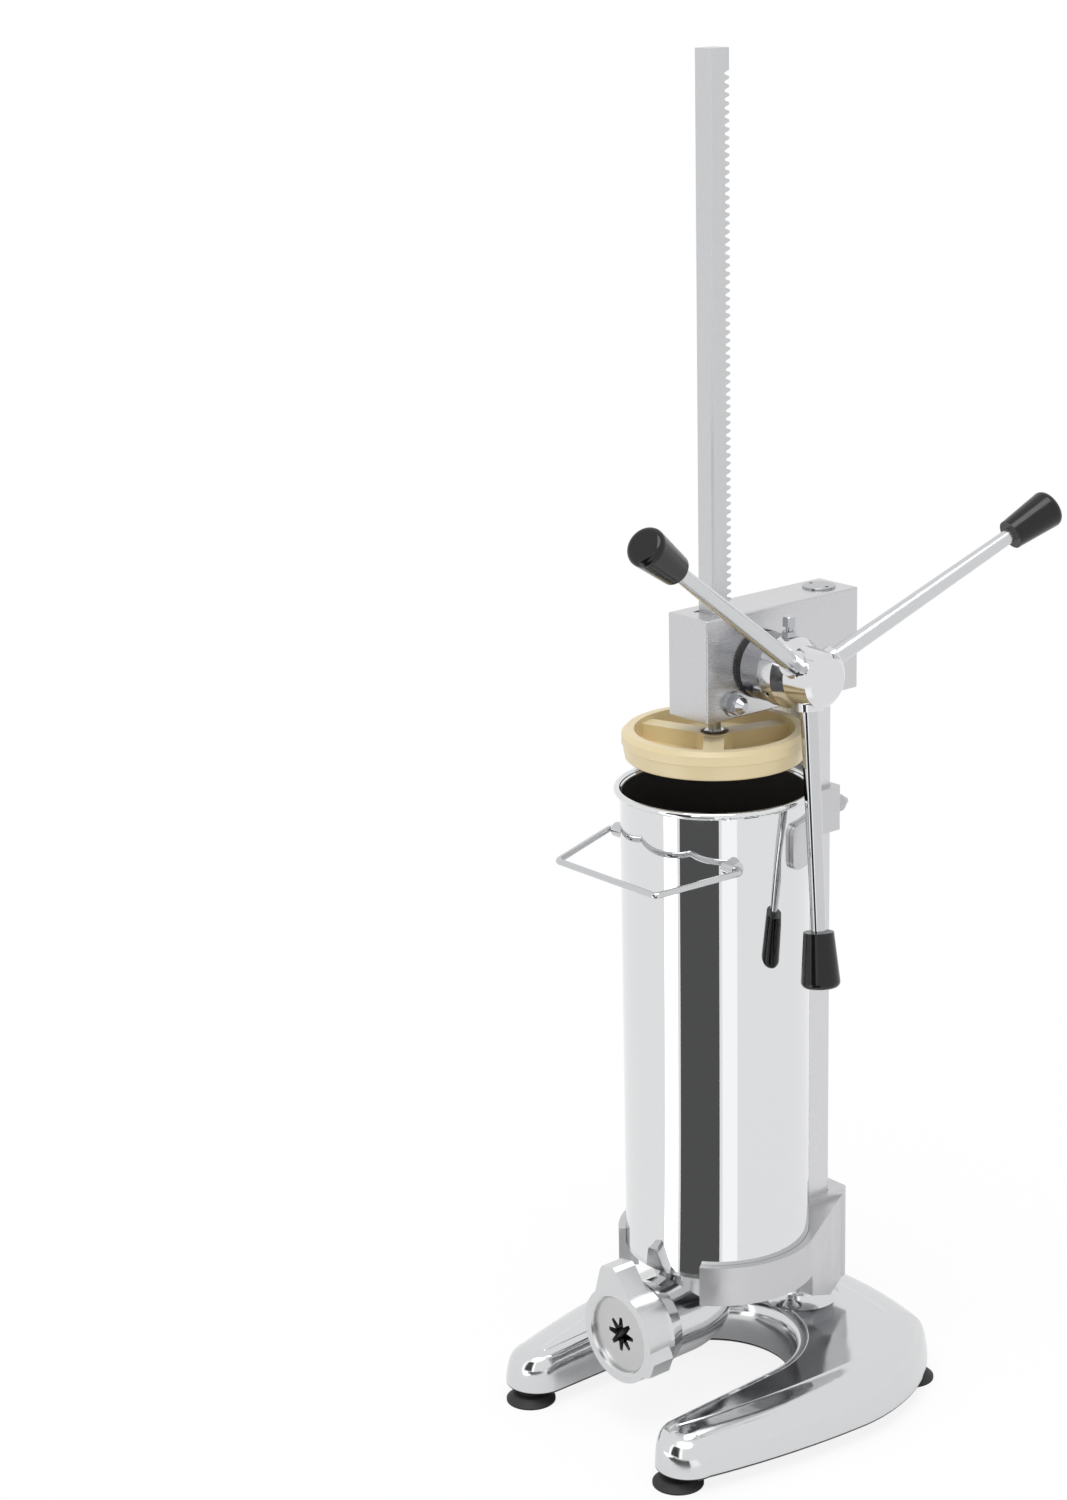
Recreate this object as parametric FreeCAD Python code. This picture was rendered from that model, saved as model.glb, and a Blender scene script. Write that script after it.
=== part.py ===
"""Rack-and-pinion churro press: one STEP file per sub-part.

Frame: +Z up, the worktop is Z = 0, the origin lies on the worktop under the cylinder's axis.
The spout points to -Y, the column stands at +Y and the three-armed lever is on the +X side.
All sizes are in millimetres.
"""
import FreeCAD, Part
import math
import os

V = FreeCAD.Vector
X_AXIS = V(1, 0, 0)
Y_AXIS = V(0, 1, 0)
Z_AXIS = V(0, 0, 1)

# ---- fits -------------------------------------------------------------------------------
FIT = 0.05                # radial play of a shaft, pin or screw in its hole
SLIDE_GAP = 0.3           # play beside a part that slides or swings past another
FACE_GAP = 0.1            # play between two flat faces that turn on each other

# ---- rack, pinion and stroke ------------------------------------------------------------
MODULE = 2.0
PRESSURE_ANGLE = 20.0     # degrees
PINION_TEETH = 22
PINION_WIDTH = 16.0
BACKLASH = 0.1            # taken off each flank of the pinion's teeth
RACK_WIDTH = 18.0         # along X
RACK_FRONT = -9.0         # Y of the rack's plain face
RACK_TIPS = 10.0          # Y of the tooth tips
RACK_LENGTH = 506.0
RACK_PLAIN_TOP = 14.0     # length without teeth at the top
RACK_CHAMFER = 1.5
STROKE = 400.0

# ---- cylinder ---------------------------------------------------------------------------
CYL_OUTER_R = 75.2
CYL_WALL = 1.5
CYL_BOTTOM = 141.0
CYL_HEIGHT = 387.0
RIM_BEAD_R = 2.5
RIM_BEAD_OFFSET = 2.4     # bead centre, outside the wall's outer face

# ---- base, feet -------------------------------------------------------------------------
BASE_BOTTOM = 12.0
BASE_HEIGHT = 39.0        # at the cylinder's axis
BASE_RISE = 0.04          # the top climbs towards the rear, mm per mm
BASE_WALL = 6.0
BASE_LIP = 1.8            # the lower edge slants in by this much, over this height
LEG_IN = 67.0             # half the gap between the legs
LEG_TIP_WIDTH = 52.5
LEG_TIP_Y = -119.0        # centre of the round leg end
BASE_HALF_WIDTH = 143.5
BASE_WIDEST_Y = 32.0
BASE_REAR_Y = 166.0
ARCH_Y = -10.0            # centre of the inner arch
FOOT_IN = 1.85            # feet sit this far inside the middle of the legs
FOOT_AHEAD = 9.0          # front feet ahead of the round ends' centres
FOOT_REAR_IN = 52.1       # rear feet inside the base's widest point
FOOT_REAR_AHEAD = 32.0    # rear feet ahead of the base's rear edge
CUP_R = 20.5
CUP_HEIGHT = 13.0
CUP_NECK_R = 11.0
CUP_SCREW_R = 3.0

# ---- column, cradle, yoke ---------------------------------------------------------------
COLUMN_HALF_W = 21.0
COLUMN_GAP = 8.8          # between the cylinder and the column
COLUMN_DEPTH = 24.0
COLUMN_CORNER_R = 2.0
COLUMN_FOOT = 92.0
CYL_FIT = 0.2             # play of the cylinder in the cradle and the yoke
CRADLE_WALL = 6.1
CRADLE_BOTTOM = 117.0
CRADLE_TOP = 150.0
CRADLE_END_ANGLE = -53.0  # degrees from +X, mirrored on the other side
CRADLE_LEDGE = 10.0       # how far the inner ledge reaches under the elbow's flange
CRADLE_BLOCK_HALF_W = 27.0
CRADLE_BLOCK_WALL = 17.0  # behind the column
CRADLE_BLOCK_TOP = 155.0
CRADLE_BLOCK_BOTTOM = 74.0
CRADLE_BLOCK_R = 5.0      # its upright rear edges
CHEEK_SHORT = 7.0         # the cheeks end this far ahead of the block's rear
RAMP_START = 5.0          # Y where the cradle's underside starts to slant down
RAMP_END = 87.0           # Y where it reaches the block's bottom
NECK_R = 25.0
NECK_FLARE = 8.0
YOKE_DROP = 54.0          # yoke's lower edge below the cylinder's rim
YOKE_HEIGHT = 37.0
YOKE_THICK = 4.0
YOKE_END_ANGLE = 7.0
YOKE_COLLAR_WALL = 6.0
YOKE_END_R = 8.0

# ---- head block -------------------------------------------------------------------------
BLOCK_HALF_W = 22.0
BLOCK_FRONT = -28.0
BLOCK_LENGTH = 164.0
BLOCK_BOTTOM = 588.0
BLOCK_HEIGHT = 83.0
BLOCK_COVE_R = 9.0
SHOE_THICK = 5.0
SHOE_DROP = 0.8           # top of the rack shoe below the top of the block
TENON_HALF_W = 13.0
TENON_HALF_D = 8.0
TENON_HEIGHT = 42.0
PLUG_R = 13.5
PLUG_Y = 114.0
PLUG_PROUD = 1.6

# ---- pinion bearing ---------------------------------------------------------------------
PINION_UP = 39.0          # pinion axis above the block's bottom
SHAFT_R = 8.0
BUSH_WALL = 3.0
SLEEVE_R = 27.0
SLEEVE_END = 46.3         # X of the sleeve's outer end
SPIGOT_R = 25.5
SEAL_WIDTH = 4.0
SEAL_PROUD = 0.3

# ---- lever ------------------------------------------------------------------------------
HUB_R = 28.0
HUB_COLLAR = 13.5         # length of the rear collar
HUB_NOSE_R = 21.5
HUB_END = 95.0            # X of the hub's flat nose
ARM_ROOT_X = 73.5         # where the rods' centre lines meet the pinion's axis
ARM_SPLAY = 9.2           # degrees the rods lean outwards
ARM_ANGLES = {"rear": 24.5, "front": 145.0, "down": 264.5}
REAR_ARM_REACH = 255.0    # from the axis to the grip's end
FRONT_ARM_REACH = 250.0
DOWN_ARM_REACH = 243.0
ROD_ROOT_R = 7.2
ROD_TIP_R = 5.9
ROD_START = 12.0          # from the axis
SOCKET_R = 10.5
SOCKET_END = 27.0
GRIP_LENGTH = 44.0
GRIP_ROOT_R = 12.0
GRIP_END_R = 15.8
GRIP_ROUND = 5.0
GRIP_CAP = 11.0           # grip material past the rod's end

# ---- piston -----------------------------------------------------------------------------
PISTON_TOP = 577.0
PISTON_HEIGHT = 23.0
PISTON_TAPER = 2.6
PISTON_BAND = 8.0         # height of the straight band under the top chamfer
PISTON_CHAMFER = 3.3
PISTON_RIM = 10.0
PISTON_FLOOR = 6.0
PISTON_BOSS_R = 14.0
PISTON_BOSS_DROP = 3.0    # boss top below the piston's rim
NUT_RECESS = 7.5          # depth of the boss's recess for the washer and nut
PISTON_RIB = 16.0
PISTON_RIB_ANGLES = (76.0, 196.0, 316.0)
STUD_R = 5.0
STUD_IN_RACK = 22.0

# ---- outlet -----------------------------------------------------------------------------
PIPE_R = 34.0
BEND_Y = -48.0            # where the pipe starts to round off
BEND_LENGTH = 54.0        # from there to the bend's rear end
SWELL_LENGTH = 13.0       # behind the collar
PIPE_WALL = 3.5
PIPE_Z = 87.0
THREAD_R = 36.6
COLLAR_FRONT = -87.0      # Y of the shoulder behind the ring nut
COLLAR_WIDTH = 4.0
NUT_R = 40.0
NUT_REAR_R = 39.5
NUT_DEPTH = 23.5
NUT_LIP = 3.9
NUT_LIP_HOLE_R = 31.5
LUG_TIP_R = 58.0
LUG_MINOR_TIP_R = 45.0
LUG_WIDTH = 20.0
LUG_ANGLE = 101.0
LUG_MINOR_ANGLE = -21.0
DIE_THICK = 5.0
STAR_POINTS = 8
STAR_OUTER_R = 14.6
STAR_INNER_R = 7.4
STAR_TIP_WIDTH = 3.2

# ---- wire handle ------------------------------------------------------------------------
WIRE_R = 2.6
HANDLE_Y = -42.0
HANDLE_BELOW_RIM = 42.3
HANDLE_SIDE = 14.6        # from the cylinder's skin to the wire's side
HANDLE_REACH = 73.0
HANDLE_DROP = 7.1
HANDLE_TAPER = 19.2       # the wire's front is this much narrower on each side
WIRE_BEND_R = 4.5
LUG_BOSS_R = 6.0
LUG_BOSS_PROUD = 8.4
PIN_GAP = 2.1             # from the cylinder's skin to the pin's tip

# ---- worked out from the sizes above ----------------------------------------------------
ARM_REACH = {"rear": REAR_ARM_REACH, "front": FRONT_ARM_REACH, "down": DOWN_ARM_REACH}
PITCH = math.pi * MODULE
PITCH_R = MODULE * PINION_TEETH / 2
TIP_R = PITCH_R + MODULE
ROOT_R = PITCH_R - 1.25 * MODULE
PINION_Y = RACK_TIPS - MODULE + PITCH_R
PINION_Z = BLOCK_BOTTOM + PINION_UP
PINION_C = V(0, PINION_Y, PINION_Z)
RACK_BOTTOM = BLOCK_BOTTOM + 4.0
RACK_TOP = RACK_BOTTOM + RACK_LENGTH
CYL_INNER_R = CYL_OUTER_R - CYL_WALL
CYL_TOP = CYL_BOTTOM + CYL_HEIGHT
COLUMN_FRONT = CYL_OUTER_R + COLUMN_GAP
COLUMN_REAR = COLUMN_FRONT + COLUMN_DEPTH
SADDLE_R = CYL_OUTER_R + CYL_FIT
YOKE_BOTTOM = CYL_TOP - YOKE_DROP
HANDLE_Z = CYL_TOP - HANDLE_BELOW_RIM
LUG_SKIN_X = math.sqrt(CYL_OUTER_R ** 2 - HANDLE_Y ** 2)
BLOCK_REAR = BLOCK_FRONT + BLOCK_LENGTH
BLOCK_TOP = BLOCK_BOTTOM + BLOCK_HEIGHT
BASE_TOP = BASE_BOTTOM + BASE_HEIGHT
PISTON_R = CYL_INNER_R - SLIDE_GAP
PISTON_BOTTOM = PISTON_TOP - PISTON_HEIGHT
BOSS_TOP = PISTON_TOP - PISTON_BOSS_DROP
NUT_SEAT = BOSS_TOP - NUT_RECESS
SLOT_HALF_W = RACK_WIDTH / 2 + SLIDE_GAP
SPIGOT_START = SLOT_HALF_W + 0.2
CHAMBER_R = TIP_R + 1.5
BUSH_R = SHAFT_R + BUSH_WALL
NUT_FRONT = COLLAR_FRONT - NUT_DEPTH
DIE_FRONT = NUT_FRONT + NUT_LIP + FACE_GAP
SPOUT_END = DIE_FRONT + DIE_THICK
FLANGE_THICK = 4.0
FLANGE_BOTTOM = CYL_BOTTOM - FLANGE_THICK


# ---- small helpers ----------------------------------------------------------------------
def box(x0, x1, y0, y1, z0, z1):
    return Part.makeBox(x1 - x0, y1 - y0, z1 - z0, V(x0, y0, z0))


def rod(radius, start, end):
    along = end - start
    return Part.makeCylinder(radius, along.Length, start, along)


def cone(r_start, r_end, start, end):
    along = end - start
    return Part.makeCone(r_start, r_end, along.Length, start, along)


def tube(outer, inner, start, end):
    return rod(outer, start, end).cut(rod(inner, start, end))


def hexagon(across_flats, start, end):
    """A hexagonal prism from start to end."""
    along = end - start
    corner = across_flats / math.sqrt(3)
    points = [V(corner * math.cos(math.radians(60 * i)), corner * math.sin(math.radians(60 * i)), 0)
              for i in range(7)]
    prism = Part.Face(Part.makePolygon(points)).extrude(V(0, 0, along.Length))
    prism.Placement = FreeCAD.Placement(start, FreeCAD.Rotation(Z_AXIS, along))
    return prism


def hex_screw(across_flats, head, shank_r, seat, inward, depth, dome=0.0):
    """A screw with its head outside the seat and its shank going in along inward."""
    top = seat - inward * head
    shape = hexagon(across_flats, top, seat)
    shape = shape.common(cone(across_flats / 2, across_flats / 2 + head, top, seat))
    if dome:
        shape = shape.fuse(cone(across_flats * 0.22, across_flats * 0.46, top - inward * dome, top))
    return shape.fuse(rod(shank_r, seat, seat + inward * depth)).removeSplitter()


def revolve(points, axis_point=V(0, 0, 0), axis=Z_AXIS):
    """A solid of revolution of a closed outline."""
    wire = Part.makePolygon(points + [points[0]])
    return Part.Face(wire).revolve(axis_point, axis, 360)


def upright_edges(shape, y_min):
    """The vertical edges of a shape that lie behind y_min."""
    return [e for e in shape.Edges if e.BoundBox.ZLength > 10 and e.BoundBox.YMin > y_min]


def group(shapes):
    return Part.makeCompound(shapes)


def arc(a, b, c):
    return Part.Arc(a, b, c).toShape()


def line(a, b):
    return Part.LineSegment(a, b).toShape()


def bent_wire(points, radius, bend_r):
    """A round wire along straight runs joined by tangent arcs."""
    edges = []
    here = points[0]
    for before, corner, after in zip(points, points[1:], points[2:]):
        back = (before - corner).normalize()
        ahead = (after - corner).normalize()
        half = back.getAngle(ahead) / 2
        setback = bend_r / math.tan(half)
        middle = (back + ahead).normalize() * (bend_r / math.sin(half) - bend_r)
        edges.append(line(here, corner + back * setback))
        here = corner + ahead * setback
        edges.append(arc(corner + back * setback, corner + middle, here))
    edges.append(line(here, points[-1]))
    start = (points[1] - points[0]).normalize()
    ring = Part.Wire([Part.makeCircle(radius, points[0], start)])
    return Part.Wire(edges).makePipeShell([ring], True, False)


def polar(radius, degrees, z=0.0):
    return V(radius * math.cos(math.radians(degrees)), radius * math.sin(math.radians(degrees)), z)


def ring_sector(outer, inner, z0, z1, start, end):
    """A ring between two radii and two angles about the cylinder's axis."""
    middle = (start + end) / 2
    edges = [arc(polar(outer, start, z0), polar(outer, middle, z0), polar(outer, end, z0)),
             line(polar(outer, end, z0), polar(inner, end, z0)),
             arc(polar(inner, end, z0), polar(inner, middle, z0), polar(inner, start, z0)),
             line(polar(inner, start, z0), polar(outer, start, z0))]
    return Part.Face(Part.Wire(edges)).extrude(V(0, 0, z1 - z0))


# ---- base and feet ----------------------------------------------------------------------
def base_outline(level, rise, outer, inner):
    """The horseshoe's outline, drawn in by outer and inner from its full size.

    It lies on a plane at height level over the origin that climbs by rise along Y.
    """
    def at(x, y):
        return V(x, y, level + rise * y)

    x_in = LEG_IN + inner
    x_out = LEG_IN + LEG_TIP_WIDTH - outer
    x_mid = (x_in + x_out) / 2
    tip = LEG_TIP_Y - (x_out - x_in) / 2
    widest = BASE_HALF_WIDTH - outer
    side_x = (x_out + widest) / 2 + 4
    side_y = (LEG_TIP_Y + BASE_WIDEST_Y) / 2
    corner_x = BASE_HALF_WIDTH * 0.66 - outer * 0.7
    corner_y = BASE_REAR_Y - 14 - outer * 0.8
    bulge_x = (widest + corner_x) / 2 + 11
    bulge_y = (BASE_WIDEST_Y + corner_y) / 2 + 8
    right = [arc(at(x_in, LEG_TIP_Y), at(x_mid, tip), at(x_out, LEG_TIP_Y)),
             arc(at(x_out, LEG_TIP_Y), at(side_x, side_y), at(widest, BASE_WIDEST_Y)),
             arc(at(widest, BASE_WIDEST_Y), at(bulge_x, bulge_y), at(corner_x, corner_y))]
    rear = [arc(at(corner_x, corner_y), at(0, BASE_REAR_Y - outer), at(-corner_x, corner_y))]
    left = [arc(at(-corner_x, corner_y), at(-bulge_x, bulge_y), at(-widest, BASE_WIDEST_Y)),
            arc(at(-widest, BASE_WIDEST_Y), at(-side_x, side_y), at(-x_out, LEG_TIP_Y)),
            arc(at(-x_out, LEG_TIP_Y), at(-x_mid, tip), at(-x_in, LEG_TIP_Y))]
    gap = [line(at(-x_in, LEG_TIP_Y), at(-x_in, ARCH_Y)),
           arc(at(-x_in, ARCH_Y), at(0, ARCH_Y + x_in + 2), at(x_in, ARCH_Y)),
           line(at(x_in, ARCH_Y), at(x_in, LEG_TIP_Y))]
    return Part.Wire(right + rear + left + gap)


# share of the height, then how far the outline is drawn in outside and inside
BASE_PROFILE = ((0.0, 0.0, 0.0), (0.35, 1.0, 0.5), (0.66, 4.0, 1.8), (0.85, 9.0, 4.2), (0.95, 17.0, 7.5),
                (1.0, 34.0, 14.0))
FOOT_FRONT = (LEG_IN + LEG_TIP_WIDTH / 2 - FOOT_IN, LEG_TIP_Y - FOOT_AHEAD)
FOOT_REAR = (BASE_HALF_WIDTH - FOOT_REAR_IN, BASE_REAR_Y - FOOT_REAR_AHEAD)
FEET = {"front_left": (-FOOT_FRONT[0], FOOT_FRONT[1]), "front_right": FOOT_FRONT,
        "rear_left": (-FOOT_REAR[0], FOOT_REAR[1]), "rear_right": FOOT_REAR}
BOSS_BOTTOM = BASE_BOTTOM + 1.0
CRADLE_BOLT_R = 5.0
CRADLE_BOLT_X = 12.0
PAD_BOTTOM = BASE_BOTTOM + 16.0
NECK_Y = COLUMN_REAR + CRADLE_BLOCK_WALL - NECK_R
NECK_TOP = CRADLE_BLOCK_BOTTOM
CRADLE_BOLT_TOP = COLUMN_FOOT - 3.0


def base_skin(bottom, top, inset, profile):
    """A closed form of the base: the outlines of its profile, each as high as its share says."""
    return Part.makeLoft([base_outline(bottom + share * (top - bottom), share * BASE_RISE, out + inset,
                                       into + inset) for share, out, into in profile], True, False)


def base_neck():
    """The round stem under the cradle, flared into the base."""
    foot_r = NECK_R + NECK_FLARE
    foot_z = BASE_TOP + BASE_RISE * NECK_Y - NECK_FLARE / 4
    straight_z = foot_z + NECK_FLARE * 2
    edges = [line(V(0, NECK_Y, PAD_BOTTOM), V(foot_r, NECK_Y, PAD_BOTTOM)),
             line(V(foot_r, NECK_Y, PAD_BOTTOM), V(foot_r, NECK_Y, foot_z)),
             arc(V(foot_r, NECK_Y, foot_z), V(NECK_R + NECK_FLARE * 0.22, NECK_Y, foot_z + NECK_FLARE * 0.9),
                 V(NECK_R, NECK_Y, straight_z)),
             line(V(NECK_R, NECK_Y, straight_z), V(NECK_R, NECK_Y, NECK_TOP)),
             line(V(NECK_R, NECK_Y, NECK_TOP), V(0, NECK_Y, NECK_TOP)),
             line(V(0, NECK_Y, NECK_TOP), V(0, NECK_Y, PAD_BOTTOM))]
    return Part.Face(Part.Wire(edges)).revolve(V(0, NECK_Y, 0), Z_AXIS, 360)


def base_casting():
    edge_top = BASE_BOTTOM + BASE_LIP
    lip = Part.makeLoft([base_outline(BASE_BOTTOM, 0, BASE_LIP, BASE_LIP), base_outline(edge_top, 0, 0, 0)],
                        True, True)
    outer = base_skin(edge_top, BASE_TOP, 0, BASE_PROFILE).fuse(lip)
    hollow = base_skin(BASE_BOTTOM - 0.5, BASE_TOP - BASE_WALL, BASE_WALL, BASE_PROFILE[:-1])
    roof = BASE_BOTTOM + (BASE_HEIGHT - BASE_WALL) * 0.8
    bosses = [rod(CUP_NECK_R, V(x, y, BOSS_BOTTOM), V(x, y, roof)) for x, y in FEET.values()]
    shape = outer.cut(hollow).multiFuse([boss.common(outer) for boss in bosses] + [base_neck()])
    for x, y in FEET.values():
        shape = shape.cut(rod(CUP_SCREW_R + FIT, V(x, y, 0), V(x, y, CUP_SCREW_TOP + 1)))
        shape = shape.cut(rod(CUP_NECK_R + FIT, V(x, y, 0), V(x, y, BOSS_BOTTOM)))
    for x in (-CRADLE_BOLT_X, CRADLE_BOLT_X):
        shape = shape.cut(rod(CRADLE_BOLT_R + FIT, V(x, NECK_Y, 0), V(x, NECK_Y, NECK_TOP + 1)))
    return shape


CUP_SCREW_TOP = 32.0
CUP_SEAT = 5.0


def suction_cup(x, y):
    outline = [V(CUP_SCREW_R + FIT, 0, CUP_SEAT), V(8, 0, CUP_SEAT), V(17, 0, 0), V(CUP_R, 0, 0),
               V(CUP_R, 0, 1.6), V(15, 0, 6.5), V(CUP_NECK_R, 0, 8), V(CUP_NECK_R, 0, CUP_HEIGHT),
               V(CUP_SCREW_R + FIT, 0, CUP_HEIGHT)]
    cup = revolve(outline)
    cup.translate(V(x, y, 0))
    return cup


def cup_screws():
    return group([rod(CUP_SCREW_R * 2, V(x, y, CUP_SEAT - 2.5), V(x, y, CUP_SEAT)).fuse(
        rod(CUP_SCREW_R, V(x, y, CUP_SEAT), V(x, y, CUP_SCREW_TOP))) for x, y in FEET.values()])


# ---- cradle, column, yoke ---------------------------------------------------------------
def column():
    foot = box(-COLUMN_HALF_W, COLUMN_HALF_W, COLUMN_FRONT, COLUMN_REAR, COLUMN_FOOT, BLOCK_BOTTOM)
    foot = foot.makeFillet(COLUMN_CORNER_R, upright_edges(foot, 0))
    middle = (COLUMN_FRONT + COLUMN_REAR) / 2
    tenon = box(-TENON_HALF_W, TENON_HALF_W, middle - TENON_HALF_D, middle + TENON_HALF_D,
                BLOCK_BOTTOM - 1, BLOCK_BOTTOM + TENON_HEIGHT)
    shape = foot.fuse(tenon)
    for screw_x, screw_z in COLUMN_CLAMPS:
        shape = shape.cut(rod(CLAMP_SCREW_R + FIT, V(screw_x, COLUMN_REAR - 12, screw_z),
                              V(screw_x, COLUMN_REAR + 1, screw_z)))
    for bolt_z in TIE_BOLT_Z:
        shape = shape.cut(rod(TIE_BOLT_R + FIT, V(-TENON_HALF_W - 1, middle, bolt_z), V(4, middle, bolt_z)))
    return shape.removeSplitter()


CLAMP_SCREW_R = 4.0
YOKE_MID = YOKE_BOTTOM + YOKE_HEIGHT / 2
YOKE_SCREW_X = 16.0
CRADLE_CLAMPS = ((0.0, 112.0), (0.0, 142.0))
YOKE_CLAMPS = ((-YOKE_SCREW_X, YOKE_MID), (YOKE_SCREW_X, YOKE_MID))
COLUMN_CLAMPS = CRADLE_CLAMPS + YOKE_CLAMPS
TIE_BOLT_R = 4.0
TIE_BOLT_LOW = 12.0       # above the head block's bottom
TIE_BOLT_HIGH = 30.0
TIE_BOLT_Z = (BLOCK_BOTTOM + TIE_BOLT_LOW, BLOCK_BOTTOM + TIE_BOLT_HIGH)


def column_hole(z0, z1):
    return box(-COLUMN_HALF_W - FIT, COLUMN_HALF_W + FIT, COLUMN_FRONT - FIT, COLUMN_REAR + FIT, z0, z1)


def cradle():
    """Saddle casting: an open ring round the cylinder's foot that runs into a block for the column."""
    end = CRADLE_END_ANGLE
    bore = SADDLE_R
    outer = bore + CRADLE_WALL
    rear = COLUMN_REAR + CRADLE_BLOCK_WALL
    ring = ring_sector(outer, bore, CRADLE_BOTTOM, CRADLE_TOP, end, 180 - end)
    ledge = ring_sector(bore + 1, bore - CRADLE_LEDGE, CRADLE_BOTTOM, FLANGE_BOTTOM, end, 180 - end)
    block = box(-CRADLE_BLOCK_HALF_W, CRADLE_BLOCK_HALF_W, bore - 2 * CRADLE_LEDGE, rear, CRADLE_BLOCK_BOTTOM,
                CRADLE_BLOCK_TOP)
    block = block.makeFillet(CRADLE_BLOCK_R, upright_edges(block, rear - 1))
    cheek_y = rear - CHEEK_SHORT
    reach = math.hypot(CRADLE_BLOCK_HALF_W, cheek_y)
    meet = math.degrees(math.atan2(cheek_y, CRADLE_BLOCK_HALF_W) - math.acos(outer / reach))
    cheeks = []
    for side in (-1, 1):
        tangent = polar(outer, meet, CRADLE_BLOCK_BOTTOM)
        points = [V(0, 0, CRADLE_BLOCK_BOTTOM), V(side * tangent.x, tangent.y, CRADLE_BLOCK_BOTTOM),
                  V(side * CRADLE_BLOCK_HALF_W, cheek_y, CRADLE_BLOCK_BOTTOM), V(0, cheek_y, CRADLE_BLOCK_BOTTOM)]
        cheeks.append(Part.Face(Part.makePolygon(points + [points[0]])).extrude(
            V(0, 0, CRADLE_TOP - CRADLE_BLOCK_BOTTOM)))
    shape = ring.multiFuse([ledge, block] + cheeks)
    shape = shape.cut(rod(bore, V(0, 0, FLANGE_BOTTOM), V(0, 0, CRADLE_BLOCK_TOP + 1)))
    shape = shape.cut(rod(bore - CRADLE_LEDGE, V(0, 0, CRADLE_BLOCK_BOTTOM - 1), V(0, 0, FLANGE_BOTTOM + 1)))
    below = [V(-2 * outer, -2 * outer, CRADLE_BOTTOM), V(-2 * outer, RAMP_START, CRADLE_BOTTOM),
             V(-2 * outer, RAMP_END, CRADLE_BLOCK_BOTTOM), V(-2 * outer, RAMP_END, CRADLE_BLOCK_BOTTOM - 1),
             V(-2 * outer, -2 * outer, CRADLE_BLOCK_BOTTOM - 1)]
    shape = shape.cut(Part.Face(Part.makePolygon(below + [below[0]])).extrude(X_AXIS * 4 * outer))
    shape = shape.cut(column_hole(COLUMN_FOOT, CRADLE_BLOCK_TOP + 1))
    for x in (-CRADLE_BOLT_X, CRADLE_BOLT_X):
        shape = shape.cut(rod(CRADLE_BOLT_R + FIT, V(x, NECK_Y, CRADLE_BLOCK_BOTTOM - 1),
                              V(x, NECK_Y, CRADLE_BOLT_TOP)))
    for x, z in CRADLE_CLAMPS:
        shape = shape.cut(rod(CLAMP_SCREW_R + FIT, V(x, COLUMN_REAR, z), V(x, rear + 1, z)))
    return shape.removeSplitter()


def cradle_bolts():
    return group([hex_screw(16, 7, CRADLE_BOLT_R, V(x, NECK_Y, PAD_BOTTOM), Z_AXIS,
                            CRADLE_BOLT_TOP - 2 - PAD_BOTTOM) for x in (-CRADLE_BOLT_X, CRADLE_BOLT_X)])


def column_clamp_screws():
    return group([hex_screw(13, 6, CLAMP_SCREW_R, V(x, COLUMN_REAR + CRADLE_BLOCK_WALL, z), -Y_AXIS,
                            CRADLE_BLOCK_WALL + 10)
                  for x, z in CRADLE_CLAMPS])


def yoke():
    """Open strap round the cylinder's top with a collar that grips the column."""
    bore = SADDLE_R
    outer = bore + YOKE_THICK
    top = YOKE_BOTTOM + YOKE_HEIGHT
    strap = ring_sector(outer, bore, YOKE_BOTTOM, top, YOKE_END_ANGLE, 180 - YOKE_END_ANGLE)
    ends = [e for e in strap.Edges if e.Length < YOKE_THICK + 1 and e.BoundBox.ZLength < 1]
    strap = strap.makeFillet(YOKE_END_R, ends)
    side = COLUMN_HALF_W + YOKE_COLLAR_WALL
    rear = COLUMN_REAR + YOKE_COLLAR_WALL
    collar = box(-side, side, bore - 8, rear, YOKE_BOTTOM, top)
    collar = collar.makeFillet(3, upright_edges(collar, rear - 1))
    shape = strap.fuse(collar).cut(rod(bore, V(0, 0, YOKE_BOTTOM - 1), V(0, 0, top + 1)))
    shape = shape.cut(column_hole(YOKE_BOTTOM - 1, top + 1))
    for x, z in YOKE_CLAMPS:
        shape = shape.cut(rod(CLAMP_SCREW_R + FIT, V(x, COLUMN_REAR, z), V(x, rear + 1, z)))
    return shape.removeSplitter()


YOKE_REAR = COLUMN_REAR + YOKE_COLLAR_WALL
WASHER_THICK = 2.0


def yoke_washers():
    return group([tube(9, CLAMP_SCREW_R + FIT, V(x, YOKE_REAR, z), V(x, YOKE_REAR + WASHER_THICK, z))
                  for x, z in YOKE_CLAMPS])


def yoke_screws():
    seat = YOKE_REAR + WASHER_THICK
    return group([hex_screw(13, 8, CLAMP_SCREW_R, V(x, seat, z), -Y_AXIS, seat - COLUMN_REAR + 10, dome=6)
                  for x, z in YOKE_CLAMPS])


# ---- head block and its small parts -----------------------------------------------------
GUIDE_Y = (RACK_FRONT + RACK_TIPS) / 2
GUIDE_Z = BLOCK_BOTTOM + 12.0
GUIDE_R = 5.0
GUIDE_PAD_LENGTH = 5.0
GUIDE_WASHER_R = 10.0


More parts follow.
